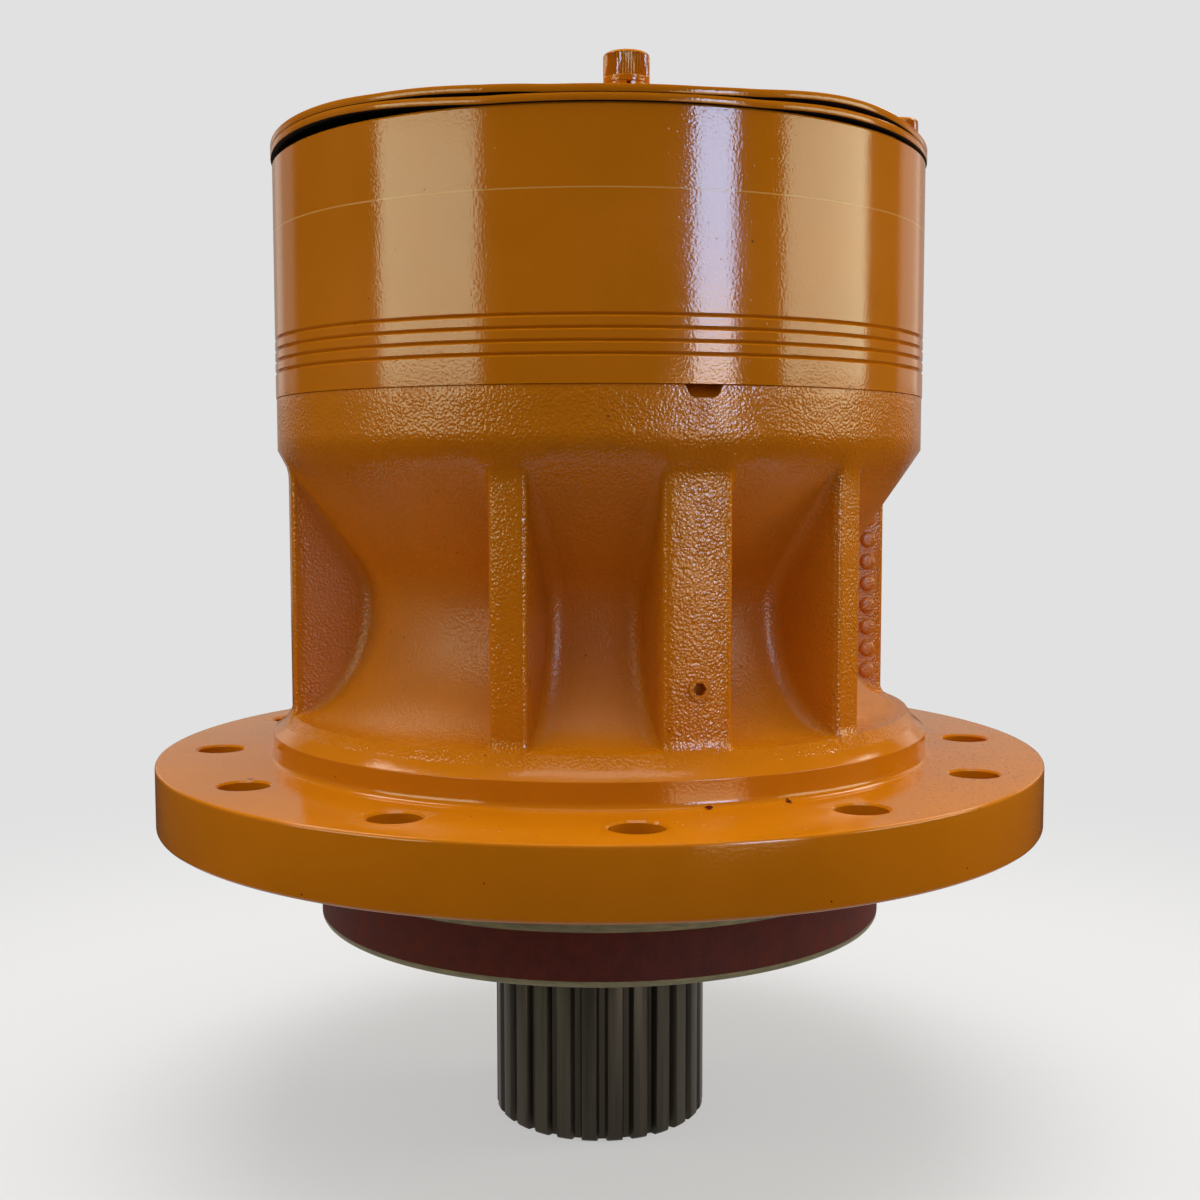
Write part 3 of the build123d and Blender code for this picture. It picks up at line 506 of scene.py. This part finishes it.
def swung(turn, radius=0.0, height=0.0):
    """The matrix that moves a thing made at the origin out to the front and round to its turn."""
    return Matrix.Rotation(radians(turn), 4, "Z") @ Matrix.Translation((0, -radius * mm, height * mm))


def join(whole, part, place):
    """Put a part into the whole at its place. The part is used up."""
    bmesh.ops.transform(part, matrix=place, verts=part.verts)
    mesh = bpy.data.meshes.new("part")
    part.to_mesh(mesh)
    part.free()
    whole.from_mesh(mesh)
    bpy.data.meshes.remove(mesh)


def finish_mesh(shape, name, body, finishes):
    """Put a bmesh into an object that rides on a body, with smooth shading broken at its sharp edges."""
    sharp = radians(35)
    bmesh.ops.remove_doubles(shape, verts=shape.verts, dist=0.0002 * mm)
    bmesh.ops.recalc_face_normals(shape, faces=shape.faces)
    for face in shape.faces:
        face.smooth = True
    for edge in shape.edges:
        edge.smooth = len(edge.link_faces) == 2 and edge.calc_face_angle(pi) < sharp
    piece = bpy.data.objects.new(name, bpy.data.meshes.new(name))
    shape.to_mesh(piece.data)
    shape.free()
    for one in finishes:
        piece.data.materials.append(one)
    scene.collection.objects.link(piece)
    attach(piece, body)
    return piece


# Holes: twelve chamfered bolt holes, three pry notches over the wide ribs and the seat of the grease plug.
# Each tool runs past the faces that it cuts.
bolt_circle = 182.8
bolt_hole = 11.0
plug_height = 75.8
plug_seat, plug_bore, plug_depth = 5.9, 4.4, 14
notch_width, notch_foot_width = 17.7, 11.3
notch_reach, notch_foot_reach = 9.5, 2.5
notch_depth = 5.4
notch_round = 2.0
cutters = bmesh.new()
for step in range(12):
    drill = turned(
        [(0, -2), (bolt_hole + 2.7, -2), (bolt_hole, 0.7), (bolt_hole, flange_thickness - 0.9),
         (bolt_hole + 2.9, flange_thickness + 2), (0, flange_thickness + 2)], 48,
    )
    join(cutters, drill, swung(30 * step, bolt_circle))
facing_in = Matrix.Rotation(radians(-90), 4, "X")
drill = turned([(0, -3), (plug_seat, -3), (plug_bore, 0.3), (plug_bore, plug_depth), (0, plug_depth)], 32)
join(cutters, drill, swung(rib_group_turn, rib_radius, plug_height) @ facing_in)
for step in range(3):
    notch = bmesh.new()
    bmesh.ops.create_cube(notch, size=1.0)
    for vertex in notch.verts:
        top, inner = vertex.co.z > 0, vertex.co.y > 0
        width = notch_width if top else notch_foot_width
        reach = (notch_reach if top else notch_foot_reach) if inner else -8.0
        height = casting_top + 1.9 if top else casting_top - notch_depth
        vertex.co = (vertex.co.x * width * mm, (-band_radius + reach) * mm, height * mm)
    rims = [
        edge for edge in notch.edges
        if all(vertex.co.y > -band_radius * mm for vertex in edge.verts)
        or all(vertex.co.z < casting_top * mm for vertex in edge.verts)
    ]
    bmesh.ops.bevel(
        notch, geom=rims, offset=notch_round * mm, segments=4, profile=0.5, affect="EDGES", material=-1,
    )
    bmesh.ops.triangulate(notch, faces=notch.faces)
    join(cutters, notch, swung(rib_group_turn + 120 * step))


def cut(shape, tools):
    """The shape with the tools taken out of it, both as bmeshes, which are used up."""
    objects = []
    for name, source in (("blank", shape), ("tools", tools)):
        item = bpy.data.objects.new(name, bpy.data.meshes.new(name))
        source.to_mesh(item.data)
        source.free()
        scene.collection.objects.link(item)
        objects.append(item)
    blank, tool = objects
    modifier = blank.modifiers.new("cut", "BOOLEAN")
    modifier.operation = "DIFFERENCE"
    modifier.solver = "EXACT"
    modifier.object = tool
    bpy.context.view_layer.update()
    result = bmesh.new()
    result.from_mesh(blank.evaluated_get(bpy.context.evaluated_depsgraph_get()).to_mesh())
    for item in objects:
        mesh = item.data
        bpy.data.objects.remove(item)
        bpy.data.meshes.remove(mesh)
    return result


casting_shape = cut(skin, cutters)


# Enamel: one coat of gloss alkyd, sprayed thick. It gives a faint orange peel on turned faces, and on
# the sand-cast faces it only softens the pebbled skin under it.
enamel_orange = "#D17A08"
thin_share = 0.9
pocket_ease = 9


def blend_colours(tree, share, under, over):
    """Lay one colour over another by a share from 0 to 1."""
    return add(tree, "Mix", {0: share, 6: under, 7: over}, data_type="RGBA").outputs[2]


def specks(tree, where, spacing, full, gone, strength):
    """Round specks at the middles of cells of the given spacing. full and gone are the shares of a cell at
    which a speck starts to fade and has faded out."""
    cells = add(tree, "TexVoronoi", {"Vector": where, "Scale": 1 / (spacing * mm)})
    return ramp(tree, cells.outputs["Distance"], full, gone, strength, 0.0)


def bump(tree, height, depth, normal=None, **settings):
    """The normal of a height map of so many millimetres, laid over another normal if one is given."""
    inputs = {"Height": height, "Strength": 1.0, "Distance": depth * mm}
    if normal is not None:
        inputs["Normal"] = normal
    return add(tree, "Bump", inputs, **settings).outputs[0]


def from_axis(tree, where):
    """How far a point lies from the gearbox's axis."""
    flat = add(tree, "VectorMath", {0: where, 1: (1, 1, 0)}, operation="MULTIPLY")
    return add(tree, "VectorMath", {0: flat.outputs[0]}, operation="LENGTH").outputs["Value"]


def enamel(name, gloss, pebbles=0.0, in_pockets=0.0, chips=(), scribe=None, paint_stops=None, bare_inside=None):
    """Orange enamel. pebbles is the height of the sand skin under it, and in_pockets how much duller the coat
    dries between the ribs, where the spray gun barely reaches. chips are places where the paint is knocked off
    down to the primer, and scribe is the height of a line scratched round the piece. Above the height
    paint_stops, and inside the radius bare_inside, the iron is bare. There it is drawn near black, as painted
    shade for the gap under the covers and for the covered bore."""
    finish = new_finish(name)
    tree = finish.node_tree
    where = add(tree, "TexCoord").outputs["Object"]
    place = add(tree, "SeparateXYZ", {0: where}).outputs
    drift = add(tree, "TexNoise", {"Vector": where, "Scale": 1 / (60 * mm), "Detail": 3.0, "Roughness": 0.6})
    drift = drift.outputs["Fac"]
    thin_coat = [part * thin_share for part in linear(enamel_orange)[:3]] + [1]
    colour = blend_colours(tree, ramp(tree, drift, 0.3, 0.7), thin_coat, linear(enamel_orange))
    # Pinholes and grit of 0.5 mm under the coat, which show some 50 mm apart.
    pinholes = specks(tree, where, 16, 0.022, 0.032, 0.85)
    colour = blend_colours(tree, pinholes, colour, linear("#3A1E0C"))
    # Pale dust of 0.7 mm that lies where a face looks up.
    facing = add(tree, "SeparateXYZ", {0: add(tree, "NewGeometry").outputs["Normal"]})
    level = ramp(tree, facing.outputs["Z"], 0.8, 0.95)
    dust = calc(tree, "MULTIPLY", specks(tree, where, 9, 0.04, 0.07, 0.5), level)
    colour = blend_colours(tree, dust, colour, linear("#D8C7A8"))
    # Brown shop dirt that has settled on the collar and the flange on the right.
    crumbs = calc(tree, "MULTIPLY", specks(tree, where, 2.6, 0.16, 0.26, 0.7), level)
    settled = calc(tree, "MULTIPLY", crumbs, ramp(tree, place["X"], 95 * mm, 130 * mm))
    colour = blend_colours(tree, settled, colour, linear("#6E4A2A"))
    for chip in chips:
        off = add(tree, "VectorMath", {0: where, 1: tuple(chip)}, operation="DISTANCE").outputs["Value"]
        ragged = add(tree, "TexNoise", {"Vector": where, "Scale": 1 / (1.2 * mm), "Detail": 1.0})
        bare = calc(tree, "LESS_THAN", off, calc(tree, "MULTIPLY", ragged.outputs["Fac"], 2.6 * mm))
        colour = blend_colours(tree, bare, colour, linear("#5A1C12"))
    # Orange peel 1.1 mm across, with open pinholes in it that only show where a light is mirrored.
    peel = add(tree, "TexNoise", {"Vector": where, "Scale": 1 / (1.1 * mm), "Detail": 1.0, "Roughness": 0.4})
    skin_height = calc(tree, "ADD", peel.outputs["Fac"], specks(tree, where, 4.2, 0.03, 0.1, -0.6))
    normal = bump(tree, skin_height, 0.05)
    if pebbles:
        # Grains of the sand mould stand 1.2 mm apart, rounded off by the paint, and deeper in some places.
        grains = add(tree, "TexVoronoi", {"Vector": where, "Scale": 1 / (1.2 * mm), "Smoothness": 0.6},
                     feature="SMOOTH_F1")
        lumps = add(tree, "TexNoise", {"Vector": where, "Scale": 1 / (1.6 * mm), "Detail": 2.0})
        patches = add(tree, "TexNoise", {"Vector": where, "Scale": 1 / (22 * mm), "Detail": 2.0})
        strength = ramp(tree, patches.outputs["Fac"], 0.35, 0.65, 0.45, 1.0)
        rise = calc(tree, "SUBTRACT", lumps.outputs["Fac"], grains.outputs["Distance"])
        normal = bump(tree, calc(tree, "MULTIPLY", rise, strength), pebbles, normal)
    if scribe:
        line = add(tree, "Math", {0: place["Z"], 1: scribe * mm, 2: 0.3 * mm}, operation="COMPARE").outputs[0]
        colour = blend_colours(tree, line, colour, linear("#E0A04C"))
        normal = bump(tree, line, 0.04, normal, invert=True)
    # Painted shade: the bare faces above paint_stops and inside bare_inside get a near-black colour for the gap and
    # the bore.
    if paint_stops:
        above = calc(tree, "GREATER_THAN", place["Z"], paint_stops * mm)
        inside = calc(tree, "LESS_THAN", from_axis(tree, where), bare_inside * mm)
        colour = blend_colours(tree, calc(tree, "MAXIMUM", above, inside), colour, linear("#15120E"))
    roughness = ramp(tree, drift, 0.3, 0.7, gloss, gloss + 0.05)
    if in_pockets:
        pocket_start = (rib_radius - pocket_ease) * mm
        dull = ramp(tree, from_axis(tree, where), pocket_start, rib_radius * mm, in_pockets, 0.0)
        roughness = calc(tree, "ADD", roughness, dull)
    paint = add(tree, "BsdfPrincipled", {
        "Base Color": colour, "Roughness": roughness, "IOR": 1.42, "Normal": normal,
    })
    add(tree, "OutputMaterial", {"Surface": paint.outputs[0]})
    return finish


def metal(name, light_tone, dark_tone, roughness, grain=1.5, depth=0.01, metallic=1.0, shine=0.5, lay=(1, 1, 1)):
    """A bare, blackened or primed metal. grain is the spacing of its machining marks or grit, and lay
    squeezes them along an axis into streaks."""
    finish = new_finish(name)
    tree = finish.node_tree
    where = add(tree, "TexCoord").outputs["Object"]
    along = add(tree, "Mapping", {"Vector": where, "Scale": lay}).outputs[0]
    stain = add(tree, "TexNoise", {"Vector": along, "Scale": 1 / (9 * mm), "Detail": 5.0, "Roughness": 0.65})
    stain = stain.outputs["Fac"]
    colour = blend_colours(tree, ramp(tree, stain, 0.35, 0.65), linear(dark_tone), linear(light_tone))
    grit = add(tree, "TexNoise", {"Vector": along, "Scale": 1 / (grain * mm), "Detail": 3.0})
    bare = add(tree, "BsdfPrincipled", {
        "Base Color": colour, "Roughness": ramp(tree, stain, 0.3, 0.7, roughness - 0.08, roughness + 0.08),
        "Metallic": metallic, "Specular IOR Level": shine, "Normal": bump(tree, grit.outputs["Fac"], depth),
    })
    add(tree, "OutputMaterial", {"Surface": bare.outputs[0]})
    return finish


# What lies within bore_reach of the axis is a bore, unless it is in a pocket of the waist. So is what looks
# inwards within bowl_reach.
bore_reach = 117
bowl_reach = 130
pocket_reach = 110
seat_reach = 150
chips = [at_turn(158.0, 11.4, 30.2), at_turn(158.5, 24.2, 30.0), at_turn(176.0, -64.0, flange_thickness)]
smooth_enamel = enamel("orange_enamel_on_turned_iron", 0.08, chips=chips)
cast_enamel = enamel("orange_enamel_on_sand_cast_iron", 0.11, pebbles=0.26, in_pockets=0.24)
bare_iron = metal("turned_iron_under_oil", "#8C8462", "#6E674C", 0.45, 2.5, 0.02, 0.4, lay=(1, 1, 6))
red_primer = metal("red_oxide_primer_on_cast_iron", "#6B2415", "#55180E", 0.6, 1.0, 0.3, 0.0, shine=0.18)
casting_finishes = [smooth_enamel, cast_enamel, bare_iron, red_primer]
on_turned, on_cast, bare, primed = range(4)
for face in casting_shape.faces:
    middle = face.calc_center_median() / mm
    radius, height = hypot(middle.x, middle.y), middle.z
    inward = face.normal.x * middle.x + face.normal.y * middle.y < -0.1 * radius
    in_waist = shoulder_top < height < band_foot and radius > pocket_reach
    if (radius < bore_reach and not in_waist) or (inward and radius < bowl_reach) or height > casting_top - 0.1:
        face.material_index = bare
    elif height < pilot_foot + 0.3:
        face.material_index = bare if height < spigot_foot + bare_lip else primed
    elif height < 0 or (height < 0.5 and radius < seat_reach):
        face.material_index = bare
    elif height < shoulder_top - 0.5:
        face.material_index = on_turned
    else:
        face.material_index = on_cast
casting = finish_mesh(casting_shape, "painted_casting", "housing", casting_finishes)
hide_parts("casting")


# Cast pips: a row of plain low studs down the front side of one narrow rib, poured with the casting in the
# same sand and painted over with it.
studded_rib_turn = 101.2
stud_count = 9
stud_foot = 62.0
stud_spacing = 11.0
stud_inset = 9.0
stud_line = [(0, -1.0), (4.3, -1.0), (4.1, 0.5), (3.5, 1.1), (2.4, 1.3), (0, 1.3)]
side_out = Matrix.Rotation(radians(-90), 4, "Y")
pips = bmesh.new()
for step in range(stud_count):
    stud_height = stud_foot + stud_spacing * step
    place = Matrix.Translation((-narrow_half * mm, -(rib_radius - stud_inset) * mm, stud_height * mm))
    join(pips, turned(stud_line, 24), swung(studded_rib_turn) @ place @ side_out)
pips = finish_mesh(pips, "cast_pips", "housing", [cast_enamel])


# Ring gear: a forged and turned ring with four grooves, sprayed with the casting. A pale line is scratched
# round it at mid height. It is the CAD's own solid. Its top face and its teeth inside stay bare, and are drawn near
# black as painted shade under the covers.
scribe_height = 270.2
ring_top = 302.2
ring_inside = 134.0
ring_enamel = enamel(
    "orange_enamel_on_turned_ring", 0.07, scribe=scribe_height, paint_stops=ring_top - 0.02,
    bare_inside=ring_inside,
)


# Shipping covers: two discs of 3 mm sheet over the motor end, laser cut and sprayed in place. Each is bent up
# between the screws that hold it down, so there are dark gaps under and between them.
# Under each plate the sheet is bare mill scale. It is drawn near black as painted shade for the gaps under and
# between the bent plates.
scale_sheet_and_painted_gap_shade = metal("mill_scale_sheet_and_painted_gap_shade", "#17140F", "#0C0B09", 0.6, 1.0, 0.02, 0.3)
cover_foot = ring_top
cover_thickness = 3.2
cover_radius = 153.2
cover_flat = 98.0
cover_ring_step = 4.0
cover_screw_circle = 140.0
cover_screw_hole = 6.75
cover_screw_turns = (0.0, 75.0, 180.0, 255.0)
lower_bends = (
    (-54.4, 48.0, 33.0, 4.1), (38.0, 19.0, 32.0, 1.7), (127.5, 46.0, 46.0, 2.5), (217.5, 31.0, 31.0, 2.5),
)
upper_bends = (
    (-23.6, 17.0, 12.5, 1.2), (37.6, 27.0, 22.0, 1.9), (125.0, 38.0, 34.0, 1.4), (222.0, 26.0, 24.0, 1.2),
)


def cover_plate(node, low, bends):
    """One cover plate, with its screw holes, bent up at its rim. bends gives each bend's turn, how far it
    runs to either side, and its rise."""
    high = low + cover_thickness
    ease = ((cover_radius - 0.5, 0.0), (cover_radius - 0.15, 0.15), (cover_radius, 0.5))
    reach = [0.0, 40.0, 80.0] + [cover_flat + cover_ring_step * step for step in range(14)]
    under = [(radius, low) for radius in reach] + [(radius, low + rise) for radius, rise in ease]
    over = [(radius, high - rise) for radius, rise in reversed(ease)]
    over += [(radius, high) for radius in reversed(reach)]
    holes = bmesh.new()
    for turn in cover_screw_turns:
        hole = turned([(0, low - 2), (cover_screw_hole, low - 2), (cover_screw_hole, high + 2), (0, high + 2)], 32)
        join(holes, hole, swung(turn, cover_screw_circle))
    plate = cut(turned(under + over, 180), holes)
    for vertex in plate.verts:
        turn = degrees(atan2(vertex.co.x, -vertex.co.y))
        out = max(vertex.co.xy.length / mm - cover_flat, 0) / (cover_radius - cover_flat)
        for centre, before, after, rise in bends:
            off = (turn - centre + 180) % 360 - 180
            share = off / (before if off < 0 else after)
            if abs(share) < 1:
                vertex.co.z += rise * mm * out ** 2 * cos(pi / 2 * share) ** 1.2
    for face in plate.faces:
        # Faces that look down take the near-black sheet, which is painted shade for the gaps.
        face.material_index = 1 if face.normal.z < -0.9 else 0
    piece = finish_mesh(plate, "bent_" + node, "housing", [smooth_enamel, scale_sheet_and_painted_gap_shade])
    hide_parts(node)


cover_plate("lower_cover_plate", cover_foot, lower_bends)
cover_plate("upper_cover_plate", cover_foot + cover_thickness, lower_bends + upper_bends)


# Cover screws: four M12 socket screws with knurled heads, sprayed over with the covers. The knurl is
# 48 upright ridges with a plain band under them and a rounded top edge.
screw_foot = 280.2
screw_radius = 6.0
head_foot = 310.7
head_top = 322.7
knurl_foot = head_foot + 2.6
knurl_top = head_top - 1.5
head_radius = 9.0
knurl_depth = 0.55
knurl_columns = 96
key_radius = 5.77
key_depth = 6
head_line = [
    (0, screw_foot), (screw_radius - 0.8, screw_foot), (screw_radius, screw_foot + 1.0),
    (screw_radius, head_foot), (head_radius - 0.4, head_foot), (head_radius, head_foot + 0.4),
    (head_radius, knurl_foot - 0.3), (head_radius, knurl_foot), (head_radius, knurl_top),
    (head_radius - 0.15, knurl_top + 0.5), (head_radius - 0.6, head_top - 0.4), (head_radius - 1.4, head_top),
    (0, head_top),
]
head = turned(head_line, knurl_columns)
for vertex in head.verts:
    radius, height = vertex.co.xy.length / mm, vertex.co.z / mm
    ridge = round(atan2(vertex.co.x, -vertex.co.y) / (2 * pi) * knurl_columns)
    if ridge % 2 and radius > head_radius - 0.1 and knurl_foot - 0.1 < height < knurl_top + 0.1:
        vertex.co.xy *= 1 - knurl_depth / head_radius
key = bmesh.new()
bmesh.ops.create_cone(
    key, cap_ends=True, segments=6, radius1=key_radius * mm, radius2=key_radius * mm, depth=2 * key_depth * mm,
)
bmesh.ops.transform(key, matrix=Matrix.Translation((0, 0, head_top * mm)), verts=key.verts)
head = cut(head, key)
screws = bmesh.new()
for turn in cover_screw_turns:
    join(screws, head.copy(), swung(turn, cover_screw_circle))
head.free()
screws = finish_mesh(screws, "knurled_cover_screws", "housing", [smooth_enamel])
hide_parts("cover_screws")


# Every other CAD node is shown as it is, in the paint or the metal that it is made of. Bushes, thrust washers
# and the thrust button are bronze, bearings, sleeves and pins are ground, and what is left is gear steel.
gear_steel = metal("case_hardened_gear_steel", "#8E8B84", "#6C6963", 0.32)
ground_steel = metal("ground_bearing_steel", "#B4B2AC", "#9A9892", 0.2)
black_steel = metal("black_oxide_screw_steel", "#2A2A2C", "#1A1A1C", 0.4)
shaft_steel = metal("dark_spline_steel", "#524A3E", "#332E27", 0.45, 1.2, 0.03, 0.7, lay=(1, 1, 0.05))
spring_steel = metal("blue_black_spring_steel", "#33343A", "#222328", 0.35)
retainer_steel = metal("oiled_retainer_steel", "#6E6C62", "#55534A", 0.45)
carrier_iron = metal("ductile_carrier_iron", "#5E5D5A", "#474644", 0.5, 2.0, 0.05)
bronze = metal("bearing_bronze", "#A97C3F", "#8C6430", 0.35)
rubber = metal("nitrile_seal_rubber", "#1E1E1E", "#141414", 0.6, 1.0, 0.01, 0.0)
finishes = {
    "ring_gear": ring_enamel, "cover_spring_washers": smooth_enamel, "grease_plug": smooth_enamel,
    "ring_screws": black_steel, "retainer_screws": black_steel, "ring_dowels": ground_steel,
    "shaft_seal": rubber, "seal_retainer": retainer_steel, "carrier_snap_ring": spring_steel,
    "second_carrier": carrier_iron, "first_carrier": carrier_iron,
}
for name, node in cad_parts.items():
    finish = finishes.get(name)
    if finish is None:
        if "bush" in name or "washers" in name or "button" in name:
            finish = bronze
        elif "bearing" in name or "sleeve" in name or "pins" in name:
            finish = ground_steel
        else:
            finish = gear_steel
    for slot in node.material_slots:
        slot.material = finish


# Output shaft: it keeps the outline of its solid, and gets the broken edges that turning it and milling its
# spline leave on the real one.
shaft_edge = 0.35
shaft = bmesh.new()
shaft.from_mesh(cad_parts["output_shaft"].data)
bmesh.ops.remove_doubles(shaft, verts=shaft.verts, dist=0.001 * mm)
bmesh.ops.dissolve_limit(
    shaft, angle_limit=radians(0.5), verts=shaft.verts, edges=shaft.edges, delimit=set(),
    use_dissolve_boundaries=False,
)
rims = [
    rim for rim in shaft.edges
    if len(rim.link_faces) == 2 and rim.calc_face_angle(0) > radians(30)
    and rim.calc_length() > 3 * shaft_edge * mm
]
bmesh.ops.bevel(
    shaft, geom=rims, offset=shaft_edge * mm, segments=2, profile=0.5, affect="EDGES", material=-1,
    clamp_overlap=False,
)
shaft = finish_mesh(shaft, "dressed_output_shaft", "output", [shaft_steel])
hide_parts("output_shaft")
